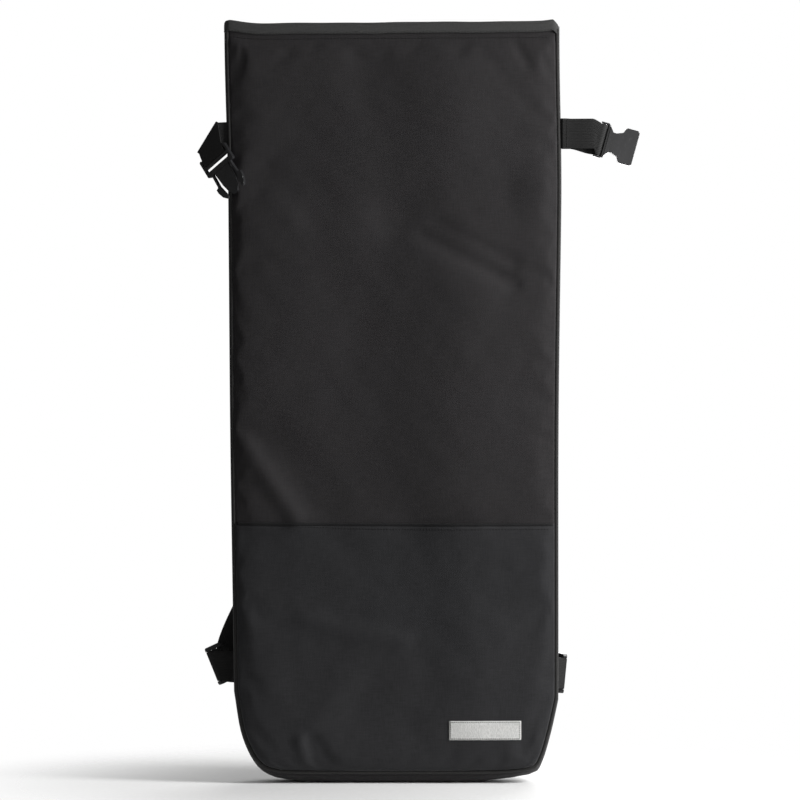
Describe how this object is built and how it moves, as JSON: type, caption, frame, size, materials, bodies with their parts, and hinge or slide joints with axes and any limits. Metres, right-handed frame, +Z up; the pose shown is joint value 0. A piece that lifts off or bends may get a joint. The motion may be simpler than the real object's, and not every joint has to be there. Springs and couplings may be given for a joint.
{
  "type": "padded gig bag",
  "caption": "Tall padded carrying bag with a fold-over top, side-release closing straps, front slip pocket, padded shoulder straps and a grab handle.",
  "frame": {"origin": "centre of the flat bottom the bag stands on, midway between its front and back at that level", "axes": "+Z up along the bag, -Y out of the front with the pocket, +X to the right of somebody looking at the front"},
  "size_m": [0.5524, 0.1548, 0.9512],
  "materials": {
    "shell_cloth": "matt black coated polyester, plain 600 denier weave",
    "pad_cloth": "matt black polyester over foam",
    "padding": "closed-cell foam sheet",
    "lining": "thin smooth nylon",
    "binding_tape": "ribbed black polypropylene tape",
    "webbing": "ribbed black polypropylene webbing",
    "buckle_plastic": "moulded black acetal, satin with soft highlights",
    "label": "blank woven label, pale grey"
  },
  "bodies": {
    "left_strap": {"left_closure_webbing": "webbing"},
    "left_strap_end": {"left_turned_webbing": "webbing"},
    "male_half": {"male_buckle": "buckle_plastic"},
    "left_prong": {"male_left_prong": "buckle_plastic"},
    "right_prong": {"male_right_prong": "buckle_plastic"},
    "right_strap": {"right_closure_webbing": "webbing"},
    "female_half": {"female_buckle": "buckle_plastic"},
    "handle": {"grab_handle": "webbing"},
    "left_shoulder_strap": {"left_tab_loop": "webbing", "left_ladder_lock": "buckle_plastic", "left_shoulder_webbing": "webbing", "left_pad_cover": "pad_cloth", "left_pad_foam": "padding"},
    "right_shoulder_strap": {"right_tab_loop": "webbing", "right_ladder_lock": "buckle_plastic", "right_shoulder_webbing": "webbing", "right_pad_cover": "pad_cloth", "right_pad_foam": "padding"},
    "fold_top": {"fold_front_panel": "shell_cloth", "fold_back_panel": "shell_cloth", "fold_gusset": "shell_cloth", "fold_front_foam": "padding", "fold_back_foam": "padding", "fold_gusset_foam": "padding", "fold_front_lining": "lining", "fold_back_lining": "lining", "fold_gusset_lining": "lining", "fold_front_piping": "binding_tape", "fold_back_piping": "binding_tape", "mouth_binding": "binding_tape"},
    "bag": {"front_panel": "shell_cloth", "back_panel": "shell_cloth", "gusset": "shell_cloth", "front_foam": "padding", "back_foam": "padding", "gusset_foam": "padding", "front_lining": "lining", "back_lining": "lining", "gusset_lining": "lining", "front_piping": "binding_tape", "back_piping": "binding_tape", "pocket_panel": "shell_cloth", "pocket_hem": "binding_tape", "label_patch": "label", "yoke_patch": "shell_cloth", "handle_anchors": "webbing", "right_closure_stub": "webbing", "left_closure_stub": "webbing", "left_tab_stub": "webbing", "right_tab_stub": "webbing"}
  },
  "joints": [
    {"name": "top_fold", "type": "hinge", "parent": "bag", "child": "fold_top", "pos_m": [0, -0.03938, 0.841], "axis": [1, 0, 0], "range_deg": [0, 165]},
    {"name": "right_strap_seam", "type": "hinge", "parent": "bag", "child": "right_strap", "pos_m": [0.2155, -0.028, 0.8135], "axis": [0, 0, 1], "range_deg": [-75, 75]},
    {"name": "female_pivot", "type": "hinge", "parent": "right_strap", "child": "female_half", "pos_m": [0.2595, -0.028, 0.806], "axis": [0.2672, 0, 0.9636], "range_deg": [-45, 35]},
    {"name": "left_strap_seam", "type": "hinge", "parent": "bag", "child": "left_strap", "pos_m": [-0.2135, -0.028, 0.80853], "axis": [0, 0, 1], "range_deg": [-60, 0]},
    {"name": "left_strap_turn", "type": "hinge", "parent": "left_strap", "child": "left_strap_end", "pos_m": [-0.2312, -0.0302, 0.8076], "axis": [-0.518, 0, -0.8554], "range_deg": [0, 170]},
    {"name": "male_pivot", "type": "hinge", "parent": "left_strap_end", "child": "male_half", "pos_m": [-0.2245, -0.0355, 0.7865], "axis": [-0.6811, 0.4873, -0.5466], "range_deg": [0, 60]},
    {"name": "left_prong_squeeze", "type": "hinge", "parent": "male_half", "child": "left_prong", "pos_m": [-0.22525, -0.03219, 0.76111], "axis": [-0.5281, -0.8439, -0.0944], "range_deg": [0, 7]},
    {"name": "right_prong_squeeze", "type": "hinge", "parent": "male_half", "child": "right_prong", "pos_m": [-0.20346, -0.04778, 0.7786], "axis": [-0.5281, -0.8439, -0.0944], "range_deg": [-7, 0]},
    {"name": "left_shoulder_lift", "type": "hinge", "parent": "bag", "child": "left_shoulder_strap", "pos_m": [-0.098, 0.045, 0.768], "axis": [0.1677, 0.0134, 0.9857], "range_deg": [0, 60]},
    {"name": "right_shoulder_lift", "type": "hinge", "parent": "bag", "child": "right_shoulder_strap", "pos_m": [0.098, 0.045, 0.768], "axis": [0.1649, -0.0132, -0.9862], "range_deg": [0, 60]},
    {"name": "grab_handle_lift", "type": "hinge", "parent": "bag", "child": "handle", "pos_m": [0, 0.03437, 0.8095], "axis": [1, 0, 0], "range_deg": [0, 85]}
  ],
  "couplings": [
    {"joint": "right_prong_squeeze", "follows": "left_prong_squeeze", "ratio": -1}
  ]
}
